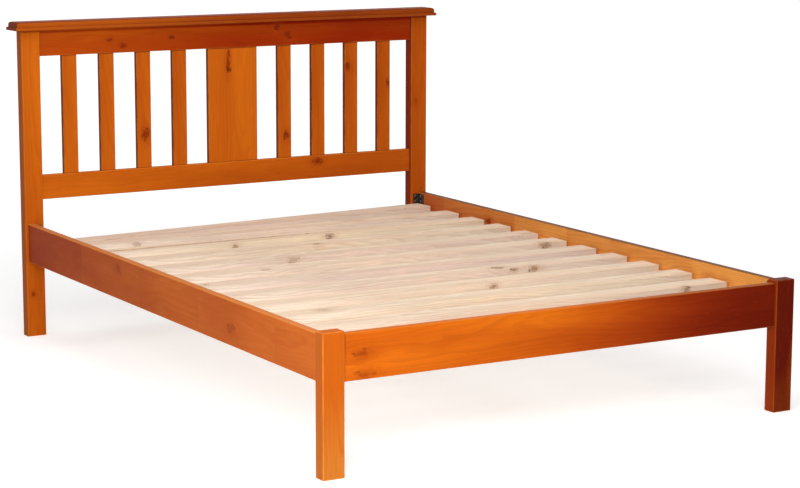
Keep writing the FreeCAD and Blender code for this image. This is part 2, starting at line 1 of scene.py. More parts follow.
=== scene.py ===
import bpy
import math
import random
from mathutils import Matrix, Vector


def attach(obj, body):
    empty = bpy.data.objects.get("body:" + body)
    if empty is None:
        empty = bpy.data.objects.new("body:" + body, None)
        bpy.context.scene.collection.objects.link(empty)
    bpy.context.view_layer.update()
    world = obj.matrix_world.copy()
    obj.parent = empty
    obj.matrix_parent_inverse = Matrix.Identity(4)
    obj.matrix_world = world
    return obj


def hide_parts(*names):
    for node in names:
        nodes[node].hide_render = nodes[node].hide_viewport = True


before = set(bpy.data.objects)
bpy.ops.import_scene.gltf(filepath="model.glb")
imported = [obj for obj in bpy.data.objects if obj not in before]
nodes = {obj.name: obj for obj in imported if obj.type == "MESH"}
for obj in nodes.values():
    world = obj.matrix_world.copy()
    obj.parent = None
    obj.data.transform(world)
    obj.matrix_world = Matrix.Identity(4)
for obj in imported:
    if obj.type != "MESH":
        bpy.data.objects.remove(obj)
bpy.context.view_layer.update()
print("frame loaded:", len(nodes), "nodes")

# Camera

cameraSet = {
    "place": (-3.616, -6.302, 1.649),  # in front of the foot end, to the left
    "yaw": 30.40,  # degrees to the right of +Y
    "pitch": -9.67,
    "roll": 0.16,
    "lens": 103.19,  # millimetres
    "sensor": 36.0,  # millimetres
}


def addCamera():
    data = bpy.data.cameras.new("camera")
    data.lens = cameraSet["lens"]
    data.sensor_width = cameraSet["sensor"]
    camera = bpy.data.objects.new("camera", data)
    turn = Matrix.Rotation(math.radians(-cameraSet["yaw"]), 4, "Z")
    turn @= Matrix.Rotation(math.radians(90 + cameraSet["pitch"]), 4, "X")
    turn @= Matrix.Rotation(math.radians(cameraSet["roll"]), 4, "Z")
    camera.matrix_world = Matrix.Translation(cameraSet["place"]) @ turn
    bpy.context.scene.collection.objects.link(camera)
    bpy.context.scene.camera = camera


addCamera()
bpy.context.scene.view_settings.view_transform = "Standard"
print("camera set")

# Small helpers for node trees


def addNode(tree, kind, inputs, **settings):
    node = tree.nodes.new(kind)
    for name, value in settings.items():
        setattr(node, name, value)
    for name, value in inputs.items():
        if isinstance(value, bpy.types.NodeSocket):
            tree.links.new(value, node.inputs[name])
        else:
            node.inputs[name].default_value = value
    return node


def calc(tree, operation, first, second=0.0):
    return addNode(tree, "ShaderNodeMath", {0: first, 1: second}, operation=operation).outputs[0]


def plus(tree, first, second):
    return calc(tree, "ADD", first, second)


def minus(tree, first, second):
    return calc(tree, "SUBTRACT", first, second)


def times(tree, first, second):
    return calc(tree, "MULTIPLY", first, second)


def vectorCalc(tree, operation, first, second=(0.0, 0.0, 0.0)):
    inputs = {0: first, 1: second}
    return addNode(tree, "ShaderNodeVectorMath", inputs, operation=operation).outputs[0]


def vectorLength(tree, vector):
    return addNode(tree, "ShaderNodeVectorMath", {0: vector}, operation="LENGTH").outputs["Value"]


def scaleBy(tree, vector, factor):
    inputs = {0: vector, "Scale": factor}
    return addNode(tree, "ShaderNodeVectorMath", inputs, operation="SCALE").outputs[0]


def split(tree, vector):
    return addNode(tree, "ShaderNodeSeparateXYZ", {0: vector}).outputs


def combine(tree, x, y, z):
    return addNode(tree, "ShaderNodeCombineXYZ", {0: x, 1: y, 2: z}).outputs[0]


def smooth(tree, value, low, high):  # 0 at low, 1 at high, also when high is the smaller
    inputs = {"Value": value, "From Min": low, "From Max": high}
    return addNode(tree, "ShaderNodeMapRange", inputs, interpolation_type="SMOOTHSTEP").outputs[0]


def remap(tree, value, low, high):  # 0..1 to low..high
    inputs = {"Value": value, "To Min": low, "To Max": high}
    return addNode(tree, "ShaderNodeMapRange", inputs).outputs[0]


def noise(tree, vector, stretch, detail=2.0, roughness=0.5):
    scaled = vectorCalc(tree, "MULTIPLY", vector, stretch)
    inputs = {"Vector": scaled, "Scale": 1.0, "Detail": detail, "Roughness": roughness}
    return addNode(tree, "ShaderNodeTexNoise", inputs).outputs[0]


def ownPlace(tree):  # a point's place on its own piece
    return addNode(tree, "ShaderNodeTexCoord", {}).outputs["Object"]


def mixColour(tree, factor, first, second, mode="MIX"):
    inputs = {0: factor, 6: first, 7: second}
    node = addNode(tree, "ShaderNodeMix", inputs, data_type="RGBA", blend_type=mode)
    return node.outputs[2]


def glaze(tree, tint, mask, share, paint):  # lays a colour over the tint, where the mask is
    return mixColour(tree, times(tree, mask, share), tint, paint)


def darken(tree, tint, value):
    return mixColour(tree, 1.0, tint, combine(tree, value, value, value), "MULTIPLY")


socketKinds = {"vector": "NodeSocketVector", "value": "NodeSocketFloat"}


def makeGroup(name, inputs, outputs):
    tree = bpy.data.node_groups.new(name, "ShaderNodeTree")
    for label, kind in inputs.items():
        tree.interface.new_socket(name=label, in_out="INPUT", socket_type=socketKinds[kind])
    for label, kind in outputs.items():
        tree.interface.new_socket(name=label, in_out="OUTPUT", socket_type=socketKinds[kind])
    start = tree.nodes.new("NodeGroupInput")
    end = tree.nodes.new("NodeGroupOutput")
    return tree, start.outputs, end.inputs


def useGroup(tree, group, inputs):
    return addNode(tree, "ShaderNodeGroup", inputs, node_tree=group).outputs


def colour(red, green, blue):
    return (red, green, blue, 1.0)


# Board space: the first axis runs along the grain, the second across the face, the third through it

# A knot goes straight through the board and pushes the grain aside
knotForm = {
    "outline": (48.0, 110.0, 110.0),  # how fine its ragged outline is
    "ragged": 0.85,  # in radii, as are the distances below
    "core": (1.20, 0.25),
    "rimInside": (0.55, 0.95),
    "rimOutside": (1.30, 1.0),
    "gaps": (34.0, 70.0, 70.0),  # how fine the breaks in the rim are
    "gapRange": (0.44, 0.62),
    "rings": 2.4,  # lines in and round the knot
    "ringRange": (0.55, 1.0),
    "ringReach": (2.6, 0.8),
    "ringShare": 0.40,
    "halo": (3.8, 0.7),
    "push": (0.0, 0.85, 0.85),
}


def makeKnotGroup():
    outputs = {"Vector": "vector", "Core": "value", "Rim": "value", "Halo": "value"}
    inputs = {**outputs, "Place": "vector", "Flatten": "vector", "Size": "value", "Strength": "value"}
    tree, start, end = makeGroup("pineKnot", inputs, outputs)
    offset = vectorCalc(tree, "SUBTRACT", start["Vector"], start["Place"])
    flat = vectorCalc(tree, "MULTIPLY", offset, start["Flatten"])
    ragged = noise(tree, start["Vector"], knotForm["outline"], detail=3.0)
    distance = calc(tree, "DIVIDE", vectorLength(tree, flat), start["Size"])
    distance = plus(tree, distance, remap(tree, ragged, -knotForm["ragged"], knotForm["ragged"]))
    core = smooth(tree, distance, *knotForm["core"])
    inside = smooth(tree, distance, *knotForm["rimInside"])
    outside = smooth(tree, distance, *knotForm["rimOutside"])
    gaps = noise(tree, start["Vector"], knotForm["gaps"])
    rim = times(tree, times(tree, inside, outside), smooth(tree, gaps, *knotForm["gapRange"]))
    turns = calc(tree, "PINGPONG", times(tree, distance, knotForm["rings"]), 1.0)
    reach = smooth(tree, distance, *knotForm["ringReach"])
    lines = times(tree, smooth(tree, turns, *knotForm["ringRange"]), reach)
    rim = calc(tree, "MAXIMUM", rim, times(tree, lines, knotForm["ringShare"]))
    halo = smooth(tree, distance, *knotForm["halo"])
    sideways = vectorCalc(tree, "MULTIPLY", flat, knotForm["push"])
    pushed = vectorCalc(tree, "SUBTRACT", start["Vector"], scaleBy(tree, sideways, halo))
    tree.links.new(pushed, end["Vector"])
    for name, mask in (("Core", core), ("Rim", rim), ("Halo", halo)):
        shown = times(tree, mask, start["Strength"])
        tree.links.new(calc(tree, "MAXIMUM", start[name], shown), end[name])
    return tree


# Boards glued up end to end from short lengths, with fingers at each joint
jointForm = {
    "fingerPitch": 0.0032,
    "fingerDepth": 0.009,
    "uneven": 0.7,  # how much the lengths differ
    "seam": 0.0006,  # width of the glue line
    "shift": (31.0, 0.17, 0.09),  # gives each length a grain of its own
}


def makeLengthsGroup():
    inputs = {"Vector": "vector", "Length": "value", "Start": "value"}
    outputs = {"Vector": "vector", "Lot": "value", "Line": "value"}
    tree, start, end = makeGroup("gluedLengths", inputs, outputs)
    along, across = split(tree, start["Vector"])[:2]
    finger = calc(tree, "PINGPONG", across, jointForm["fingerPitch"])
    zigzag = times(tree, finger, jointForm["fingerDepth"] / jointForm["fingerPitch"])
    place = plus(tree, plus(tree, along, zigzag), start["Start"])
    place = calc(tree, "DIVIDE", place, start["Length"])
    cells = {"W": place, "Scale": 1.0, "Randomness": jointForm["uneven"]}
    lots = addNode(tree, "ShaderNodeTexVoronoi", cells, voronoi_dimensions="1D")
    lot = split(tree, lots.outputs["Color"])[0]
    seams = addNode(tree, "ShaderNodeTexVoronoi", cells, voronoi_dimensions="1D",
                    feature="DISTANCE_TO_EDGE")
    seamWidth = calc(tree, "DIVIDE", jointForm["seam"], start["Length"])
    line = smooth(tree, seams.outputs["Distance"], seamWidth, 0.0)
    shift = combine(tree, *[times(tree, lot, step) for step in jointForm["shift"]])
    tree.links.new(vectorCalc(tree, "ADD", start["Vector"], shift), end["Vector"])
    tree.links.new(lot, end["Lot"])
    tree.links.new(line, end["Line"])
    return tree


# Growth rings about the pith, which give long lines on the faces and arcs on the ends
grainForm = {
    "wave": (1.3, 6.0, 6.0),
    "ripple": (9.0, 45.0, 45.0),
    "rippleDepth": 0.006,
    "taper": (0.025, 1.0, 1.0),  # the rings are long cones
    "rise": (0.25, 0.90),  # late wood darkens slowly within a year
    "fall": (1.0, 0.92),  # and ends sharply
    "years": (0.35, 1.0),  # weak and strong years
    "tone": (0.9, 8.0, 8.0),
    "fibre": (11.0, 620.0, 620.0),
    "fleck": (28.0, 900.0, 900.0),
    "fleckRange": (0.66, 0.78),
}


def makeGrainGroup():
    inputs = {"Vector": "vector", "Pith": "vector", "Ring": "value", "Wander": "value"}
    outputs = {"Late": "value", "Tone": "value", "Fibre": "value", "Streak": "value"}
    tree, start, end = makeGroup("pineGrain", inputs, outputs)
    wave = noise(tree, start["Vector"], grainForm["wave"])
    ripple = noise(tree, start["Vector"], grainForm["ripple"])
    large = times(tree, minus(tree, wave, 0.5), start["Wander"])
    small = times(tree, minus(tree, ripple, 0.5), grainForm["rippleDepth"])
    fromPith = vectorCalc(tree, "SUBTRACT", start["Vector"], start["Pith"])
    radius = vectorLength(tree, vectorCalc(tree, "MULTIPLY", fromPith, grainForm["taper"]))
    radius = plus(tree, radius, plus(tree, large, small))
    count = calc(tree, "DIVIDE", radius, start["Ring"])
    part = calc(tree, "FRACT", count)
    whole = calc(tree, "FLOOR", count)
    year = addNode(tree, "ShaderNodeTexWhiteNoise", {"W": whole}, noise_dimensions="1D")
    rise = smooth(tree, part, *grainForm["rise"])
    fall = smooth(tree, part, *grainForm["fall"])
    strength = remap(tree, year.outputs["Value"], *grainForm["years"])
    tree.links.new(times(tree, times(tree, rise, fall), strength), end["Late"])
    tree.links.new(noise(tree, start["Vector"], grainForm["tone"]), end["Tone"])
    tree.links.new(noise(tree, start["Vector"], grainForm["fibre"], roughness=0.6), end["Fibre"])
    fleck = noise(tree, start["Vector"], grainForm["fleck"], detail=1.0)
    tree.links.new(smooth(tree, fleck, *grainForm["fleckRange"]), end["Streak"])
    return tree


# How near a point is to the board's eased edges, to its two ends and to its narrow sides
edgeForm = {"side": (0.0022, 0.0006)}  # metres from the side, where it begins and is full


def makeEdgeGroup():
    inputs = {"Vector": "vector", "Half": "vector", "Width": "value"}
    outputs = {"Arris": "value", "End": "value", "Side": "value"}
    tree, start, end = makeGroup("boardEdges", inputs, outputs)
    inside = vectorCalc(tree, "ABSOLUTE", start["Vector"])
    inside = vectorCalc(tree, "SUBTRACT", start["Half"], inside)
    inside = vectorCalc(tree, "ABSOLUTE", inside)
    along, across, through = split(tree, inside)
    nearest = plus(tree, across, through)
    nearest = calc(tree, "MINIMUM", nearest, plus(tree, along, across))
    nearest = calc(tree, "MINIMUM", nearest, plus(tree, along, through))
    tree.links.new(smooth(tree, nearest, start["Width"], 0.0), end["Arris"])
    tree.links.new(smooth(tree, along, start["Width"], 0.0), end["End"])
    tree.links.new(smooth(tree, across, *edgeForm["side"]), end["Side"])
    return tree


knotGroup = makeKnotGroup()
lengthsGroup = makeLengthsGroup()
grainGroup = makeGrainGroup()
edgeGroup = makeEdgeGroup()
print("grain, knot, length and edge groups made")

axisOrder = {"x": 0, "y": 1, "z": 2}


# Turns a node's own coordinates into board space, centred on the board
def boardSpace(tree, node, grain, face, askew=0.0):
    turn = Matrix.Rotation(-askew, 3, "Z")
    corners = [turn @ vertex.co for vertex in nodes[node].data.vertices]
    low = Vector([min(corner[axis] for corner in corners) for axis in range(3)])
    high = Vector([max(corner[axis] for corner in corners) for axis in range(3)])
    middle = (low + high) / 2
    half = (high - low) / 2
    order = [axisOrder[grain], 3 - axisOrder[grain] - axisOrder[face], axisOrder[face]]
    inputs = {"Vector": ownPlace(tree), "Location": -middle, "Rotation": (0.0, 0.0, -askew)}
    centred = addNode(tree, "ShaderNodeMapping", inputs).outputs[0]
    parts = split(tree, centred)
    vector = combine(tree, *[parts[axis] for axis in order])
    return vector, Vector([half[axis] for axis in order])


def newMaterial(name):
    material = bpy.data.materials.new(name)
    material.use_nodes = True
    tree = material.node_tree
    tree.nodes.clear()
    shader = tree.nodes.new("ShaderNodeBsdfPrincipled")
    output = tree.nodes.new("ShaderNodeOutputMaterial")
    tree.links.new(shader.outputs[0], output.inputs["Surface"])
    return material, tree, shader


# Feeds the shader; the relief is the strength and the depth of the bump
def feedShader(tree, shader, tint, rough, height, relief):
    strength, depth = relief
    inputs = {"Height": height, "Strength": strength, "Distance": depth}
    bump = addNode(tree, "ShaderNodeBump", inputs)
    tree.links.new(tint, shader.inputs["Base Color"])
    tree.links.new(rough, shader.inputs["Roughness"])
    tree.links.new(bump.outputs[0], shader.inputs["Normal"])


def dress(piece, material):
    piece.data.materials.clear()
    piece.data.materials.append(material)


# Pine under a clear orange-brown stain and a semi-gloss lacquer
stain = {
    "light": colour(0.65, 0.145, 0.007),
    "late": colour(0.50, 0.086, 0.005),
    "deep": colour(0.29, 0.023, 0.002),
    "knot": colour(0.21, 0.018, 0.002),
    "rim": colour(0.09, 0.008, 0.002),
    "halo": colour(0.42, 0.056, 0.004),
    # edge colour for wear and for a painted highlight
    "wornAndLit": colour(0.88, 0.30, 0.045),
    # painted shade for the narrow sides
    "side": colour(0.12, 0.012, 0.003),
    "seam": colour(0.10, 0.012, 0.002),
    "ring": 0.0052,  # width of a year
    "wander": 0.05,
    "arris": 0.004,
    "lateShare": 0.42,
    "toneRange": (0.30, 0.75),
    "toneGain": 0.18,
    "mottle": (3.0, 11.0, 11.0),  # how fine it is along, across and through the board
    "fibre": (0.80, 1.20),
    "streakShare": 0.35,
    "glueShare": 0.5,
    "knotShare": 0.95,
    "rub": (14.0, 60.0, 60.0),
    "rubRange": (0.30, 0.62),
    "rubbed": (0.10, 0.45),  # how much of the stain is worn off the edges, and how much painted highlight they take
    "seamShare": 0.8,
    "sheen": (5.0, 28.0, 28.0),
    "gloss": (0.30, 0.48),  # roughness, least and most
    "fibreGloss": 0.06,
    "lateRelief": 0.5,
    "relief": (0.22, 0.0004),
}

# Bare planed pine
bare = {
    "light": colour(0.88, 0.715, 0.55),
    "late": colour(0.71, 0.48, 0.33),
    "pink": colour(0.82, 0.57, 0.47),
    "yellow": colour(0.87, 0.66, 0.41),
    "stripe": colour(0.74, 0.56, 0.39),
    "edge": colour(1.05, 1.12, 1.20),  # painted light: the narrow sides are paler
    "farSideShade": colour(0.88, 0.93, 1.00),  # painted shade: greyer towards the right
    "knot": colour(0.36, 0.19, 0.10),
    "rim": colour(0.12, 0.06, 0.03),
    "halo": colour(0.66, 0.43, 0.27),
    "end": colour(0.70, 0.50, 0.34),
    "grimeAndShade": colour(0.50, 0.31, 0.19),
    "ring": 0.0046,
    "wander": 0.06,
    "arris": 0.005,
    "toneRange": (0.35, 0.68),
    "stripes": (1.4, 30.0, 30.0),
    "stripeRange": (0.52, 0.70),
    "stripeShare": 0.6,
    "lateShare": 0.78,
    "greyFrom": 0.1,  # metres to the right of the middle, where the painted shade on the narrow sides begins
    "bands": (2.2, 48.0, 48.0),
    "bandDepth": 0.28,
    "fibre": (0.84, 1.16),
    "streakShare": 0.40,
    "knotShare": 1.0,
    "endShare": 0.6,
    "soil": (7.0, 30.0, 30.0),
    "soilRange": (0.45, 0.75),
    "soiled": (0.5, 1.2),
    "gloss": (0.56, 0.76),
    "lateRelief": 0.7,
    "relief": (0.35, 0.0005),
    "shine": 0.2,
}


# A knot is a little long in the grain, a streak much longer, and one on the edge stays near it
knotShapes = {
    "face": {"Flatten": (0.7, 1.0, 0.0), "Strength": 1.0},
    "pale": {"Flatten": (0.6, 1.0, 0.0), "Strength": 0.45},
    "soft": {"Flatten": (0.5, 1.0, 0.0), "Strength": 0.60},
    "streak": {"Flatten": (0.22, 1.0, 0.0), "Strength": 1.0},
    "resin": {"Flatten": (0.016, 1.0, 0.0), "Strength": 0.75},
    "edge": {"Flatten": (0.7, 0.8, 1.0), "Strength": 1.0},
    "paleEdge": {"Flatten": (0.6, 0.8, 1.0), "Strength": 0.5},
}
knotPaint = {"Halo": ("halo", 0.40), "Core": ("knot", 0.80), "Rim": ("rim", 0.85)}


# Each knot: along the grain, across the face or up the edge, radius, shape
def addKnots(tree, vector, half, knots):
    state = {"Vector": vector, "Core": 0.0, "Rim": 0.0, "Halo": 0.0}
    for along, across, radius, shape in knots:
        onEdge = shape in ("edge", "paleEdge")
        place = (along, -half[1], across) if onEdge else (along, across, 0.0)
        inputs = {**state, **knotShapes[shape], "Place": place, "Size": radius}
        outputs = useGroup(tree, knotGroup, inputs)
        state = {name: outputs[name] for name in state}
    return state


def paintKnots(tree, tint, state, finish):
    for name, (paint, share) in knotPaint.items():
        tint = glaze(tree, tint, state[name], share * finish["knotShare"], finish[paint])
    return tint


def addGrain(tree, vector, pith, finish):
    inputs = {"Vector": vector, "Pith": pith, "Ring": finish["ring"], "Wander": finish["wander"]}
    return useGroup(tree, grainGroup, inputs)


def addEdges(tree, board, half, finish):
    return useGroup(tree, edgeGroup, {"Vector": board, "Half": half, "Width": finish["arris"]})


def grainHeight(tree, rings, finish):
    return plus(tree, times(tree, rings["Late"], finish["lateRelief"]), rings["Fibre"])


plainLook = {
    "pith": (0.0, 0.0, 0.06),  # place of the growth rings' middle
    "tone": 0.0,  # depth of the stain
    "fade": 0.0,  # how much deeper it gets towards the far end
    "bend": 1.0,  # above 1 the fade starts later
    "multiplyFade": False,  # the fade multiplies colour by colour, red going before dark
    "mottle": 0.22,  # how uneven the stain is
    "patches": (),  # paler or deeper areas: along, across, length, width, change
    "light": stain["light"],
    "outside": None,  # light colour of the far face, where it differs
    "deep": stain["deep"],
    "knots": (),
    "joined": 0.0,  # mean length of the pieces of a glued-up board
    "lots": 0.12,  # how much their stain differs
    "housed": 0.0,  # hidden length of a tenon or housed end
    "side": 0.0,  # how much the narrow sides take the painted side light and shade
    "returns": 0.0,  # how much darker a moulding is round its ends
    "sideLightAndShade": stain["side"],
    "wearAndHighlight": 1.0,
    "shine": 0.03,
    "shadeLines": (),  # painted shade: dark lines in the hollows and along the edges of a moulding: from, to, strength
}
softLine = 0.001  # half the width over which a line or a mitre begins


# How deep the stain is at each place, from 0 to 1, with the painted shade and light that some pieces
# carry
def stainDepth(tree, board, half, look, tone, lengths):
    depth = smooth(tree, tone, *stain["toneRange"])
    depth = remap(tree, depth, look["tone"], look["tone"] + stain["toneGain"])
    mottle = noise(tree, board, stain["mottle"], detail=3.0)
    depth = plus(tree, depth, remap(tree, mottle, -look["mottle"], look["mottle"]))
    if look["fade"]:
        further = smooth(tree, split(tree, board)[0], -half[0], half[0])
        further = calc(tree, "POWER", further, look["bend"])
        depth = plus(tree, depth, times(tree, further, look["fade"]))
    if lengths:
        depth = plus(tree, depth, remap(tree, lengths["Lot"], -look["lots"], look["lots"]))
    for along, across, length, width, change in look["patches"]:
        offset = vectorCalc(tree, "SUBTRACT", board, (along, across, 0.0))
        scaled = vectorCalc(tree, "MULTIPLY", offset, (1.0 / length, 1.0 / width, 0.0))
        inside = smooth(tree, vectorLength(tree, scaled), 1.0, 0.0)
        depth = plus(tree, depth, times(tree, inside, change))
    # Painted shade lines of a moulding
    for low, high, strength in look["shadeLines"]:
        through = split(tree, board)[2]
        above = smooth(tree, through, low - softLine, low + softLine)
        below = smooth(tree, through, high + softLine, high - softLine)
        depth = plus(tree, depth, times(tree, times(tree, above, below), strength))
    return addNode(tree, "ShaderNodeClamp", {"Value": depth}).outputs[0]


def stainedPine(node, grain, face, **changes):
    look = {**plainLook, **changes}
    material, tree, shader = newMaterial("stained_" + node)
    board, half = boardSpace(tree, node, grain, face)
    half[0] -= look["housed"]  # tenons and housed ends don't show
    state = addKnots(tree, board, half, look["knots"])
    lengths = None
    if look["joined"]:
        inputs = {"Vector": state["Vector"], "Length": look["joined"], "Start": look["pith"][0]}
        lengths = useGroup(tree, lengthsGroup, inputs)
        state["Vector"] = lengths["Vector"]
    rings = addGrain(tree, state["Vector"], look["pith"], stain)
    edges = addEdges(tree, board, half, stain)
    light = look["light"]
    if look["outside"]:
        outer = smooth(tree, split(tree, board)[2], -2 * softLine, 2 * softLine)
        light = mixColour(tree, outer, light, look["outside"])
    tint = glaze(tree, light, rings["Late"], stain["lateShare"], stain["late"])
    depth = stainDepth(tree, board, half, look, rings["Tone"], lengths)
    if look["multiplyFade"]:
        ratios = [deep / pale for deep, pale in zip(look["deep"][:3], look["light"][:3])]
        passed = combine(tree, *[calc(tree, "POWER", ratio, depth) for ratio in ratios])
        tint = mixColour(tree, 1.0, tint, passed, "MULTIPLY")
    else:
        tint = mixColour(tree, depth, tint, look["deep"])
    # Painted light and shade on the narrow sides
    tint = glaze(tree, tint, edges["Side"], look["side"], look["sideLightAndShade"])
    if look["returns"]:
        along, across = split(tree, vectorCalc(tree, "ABSOLUTE", board))[:2]
        past = minus(tree, minus(tree, along, half[0]), minus(tree, across, half[1]))
        mitre = smooth(tree, past, -softLine, softLine)
        tint = glaze(tree, tint, mitre, look["returns"], look["sideLightAndShade"])
    tint = darken(tree, tint, remap(tree, rings["Fibre"], *stain["fibre"]))
    tint = glaze(tree, tint, rings["Streak"], stain["streakShare"], stain["late"])
    if lengths:
        tint = glaze(tree, tint, lengths["Line"], stain["glueShare"], stain["rim"])
    if look["knots"]:
        tint = paintKnots(tree, tint, state, stain)
    # Worn edges, lightened also as a painted highlight
    rubbed = smooth(tree, noise(tree, board, stain["rub"]), *stain["rubRange"])
    rubbed = remap(tree, rubbed, *[share * look["wearAndHighlight"] for share in stain["rubbed"]])
    tint = mixColour(tree, times(tree, edges["Arris"], rubbed), tint, stain["wornAndLit"])
    if look["housed"]:
        tint = glaze(tree, tint, edges["End"], stain["seamShare"], stain["seam"])
    rough = remap(tree, noise(tree, board, stain["sheen"], detail=3.0), *stain["gloss"])
    rough = plus(tree, rough, times(tree, rings["Fibre"], stain["fibreGloss"]))
    feedShader(tree, shader, tint, rough, grainHeight(tree, rings, stain), stain["relief"])
    shader.inputs["Specular IOR Level"].default_value = look["shine"]
    dress(nodes[node], material)


def barePine(node, grain, face, pith, hue, shade, knots, askew=0.0, grimeAndShade=0.25):
    material, tree, shader = newMaterial("bare_" + node)
    board, half = boardSpace(tree, node, grain, face, askew)
    state = addKnots(tree, board, half, knots)
    rings = addGrain(tree, state["Vector"], pith, bare)
    edges = addEdges(tree, board, half, bare)
    heart = mixColour(tree, hue, bare["pink"], bare["yellow"])
    tint = mixColour(tree, smooth(tree, rings["Tone"], *bare["toneRange"]), bare["light"], heart)
    stripe = smooth(tree, noise(tree, state["Vector"], bare["stripes"]), *bare["stripeRange"])
    tint = glaze(tree, tint, stripe, bare["stripeShare"], bare["stripe"])
    tint = glaze(tree, tint, rings["Late"], bare["lateShare"], bare["late"])
    # Painted light on the narrow sides, paler on the left and greyer to the right
    further = smooth(tree, split(tree, board)[0], bare["greyFrom"], half[0])
    paintedSideLight = mixColour(tree, further, bare["edge"], bare["farSideShade"])
    tint = mixColour(tree, edges["Side"], tint, mixColour(tree, 1.0, tint, paintedSideLight, "MULTIPLY"))
    bands = noise(tree, state["Vector"], bare["bands"], detail=3.0)
    fibre = remap(tree, rings["Fibre"], *[level - shade for level in bare["fibre"]])
    fibre = plus(tree, fibre, remap(tree, bands, -bare["bandDepth"], bare["bandDepth"]))
    tint = darken(tree, tint, fibre)
    tint = glaze(tree, tint, rings["Streak"], bare["streakShare"], bare["halo"])
    if knots:
        tint = paintKnots(tree, tint, state, bare)
    tint = glaze(tree, tint, edges["End"], bare["endShare"], bare["end"])
    # Grime on the arrises, on the first slat also painted shade
    soil = smooth(tree, noise(tree, board, bare["soil"]), *bare["soilRange"])
    soil = remap(tree, soil, *[share * grimeAndShade for share in bare["soiled"]])
    tint = mixColour(tree, times(tree, edges["Arris"], soil), tint, bare["grimeAndShade"])
    rough = remap(tree, rings["Fibre"], *bare["gloss"])
    feedShader(tree, shader, tint, rough, grainHeight(tree, rings, bare), bare["relief"])
    shader.inputs["Specular IOR Level"].default_value = bare["shine"]
    dress(nodes[node], material)


# Posts, with the grain upright
shadeUnderCap = (0.524, 0.0, 0.008, 2.0, 0.65)  # painted shadow in the corner under the cap
posts = {
    "head_post_left": {
        "pith": (0.3, 0.012, 0.050),
        "tone": 0.15,
        "fade": -0.16,
        "side": 0.75,
        # painted shade on the narrow sides
        "sideLightAndShade": colour(0.34, 0.070, 0.004),
        "shine": 0.02,
        "patches": [shadeUnderCap],
        "knots": [(-0.380, -0.012, 0.006, "face")],
    },
    "head_post_right": {
        "pith": (1.7, -0.020, 0.060),
        "tone": 0.26,
        "fade": 0.12,
        "side": 0.85,
        # painted shade on the narrow sides
        "sideLightAndShade": colour(0.19, 0.014, 0.002),
        "shine": 0.02,
        "patches": [shadeUnderCap],
        "knots": [(0.21, -0.012, 0.007, "pale")],
    },
    "foot_post_left": {
        "pith": (2.9, 0.010, 0.045),
        "tone": -0.10,
        "fade": 1.2,
        "bend": 0.6,
        "light": colour(0.62, 0.205, 0.028),
        "deep": colour(0.545, 0.108, 0.006),
        # painted highlight on the arrises, with the wear
        "wearAndHighlight": 1.9,
        "side": 0.6,
        # painted light on the narrow sides
        "sideLightAndShade": colour(0.46, 0.11, 0.012),
    },
    "foot_post_right": {
        "pith": (4.1, -0.015, 0.055),
        # painted shade: much deeper all over and towards the top, where the light falls off to the
        # right
        "tone": 0.70,
        "fade": 0.40,
        "deep": colour(0.125, 0.007, 0.001),
        "wearAndHighlight": 0.5,
        "side": 0.7,
        # painted shade on the narrow sides
        "sideLightAndShade": colour(0.31, 0.038, 0.004),
    },
}
for node, look in posts.items():
    stainedPine(node, "z", "y", **look)

# Headboard rails, with the grain from side to side
headRails = {
    "head_top_rail": {
        "pith": (0.4, 0.030, 0.085),
        "tone": 0.46,
        "fade": 0.34,
        "light": colour(0.65, 0.120, 0.006),
        "deep": colour(0.28, 0.013, 0.001),
        "patches": [
            (-0.55, 0.050, 0.75, 0.070, -0.55),  # painted light: paler towards the top on the left, against the cap's shade
            (0.0, 0.037, 40.0, 0.008, 0.52),  # painted shadow in the corner under the cap
        ],
        "housed": 0.025,
        "knots": [
            (-0.475, 0.000, 0.007, "face"),
            (-0.423, -0.022, 0.009, "face"),
            (-0.240, 0.000, 0.008, "face"),
            (0.180, 0.023, 0.008, "face"),
            (0.220, -0.006, 0.011, "face"),
        ],
    },
    "head_lower_rail": {
        "pith": (1.4, -0.020, 0.095),
        "tone": -0.02,
        "fade": 0.42,
        "housed": 0.025,
        "knots": [(0.343, 0.021, 0.012, "face")],
    },
}
for node, look in headRails.items():
    stainedPine(node, "x", "y", **look)

# Moulded cap, with painted shade in the hollows and along the top
headCap = {
    "pith": (2.4, 0.020, 0.060),
    "tone": 0.46,
    "fade": 0.26,
    "wearAndHighlight": 0.3,
    "deep": colour(0.22, 0.030, 0.005),
    "shine": 0.02,
    "returns": 0.7,
    # painted shade along the top edge, at the step in the profile and under the lower edge
    "shadeLines": [(0.0115, 0.020, 0.45), (-0.0045, -0.0020, 0.24), (-0.020, -0.0125, 0.60)],
}
stainedPine("head_cap", "x", "z", **headCap)

# Upright slats and panel of the headboard
headSlats = {
    1: {"tone": 0.03},
    2: {"tone": 0.07},
    3: {"tone": 0.06, "knots": [(-0.086, 0.003, 0.014, "face")]},
    4: {"tone": 0.14},
    5: {"tone": 0.10, "knots": [(-0.121, 0.007, 0.010, "face")]},
    6: {"tone": 0.15},
    7: {"tone": 0.17, "knots": [(0.116, -0.014, 0.010, "face")]},
    8: {"tone": 0.25, "knots": [(0.047, 0.020, 0.010, "face")]},
}
# the narrow sides take painted shade
headSlatLook = {"fade": 0.18, "side": 0.85, "housed": 0.012}
headPanel = {
    "pith": (3.2, 0.020, 0.12),
    "tone": 0.02,
    # the narrow sides take painted shade
    "side": 0.85,
    "housed": 0.012,
    "knots": [(0.158, -0.018, 0.007, "streak"), (0.127, -0.015, 0.004, "face")],
}
draw = random.Random(41)


# Where in its log a board was cut: along it, how far to the side, how far from the pith
def drawPith(side, near, far):
    return (draw.uniform(0.0, 9.0), draw.uniform(-side, side), draw.uniform(near, far))


for number, look in headSlats.items():
    pith = drawPith(0.03, 0.05, 0.11)
    stainedPine(f"head_slat_{number}", "z", "y", pith=pith, **headSlatLook, **look)
stainedPine("head_panel", "z", "y", **headPanel)

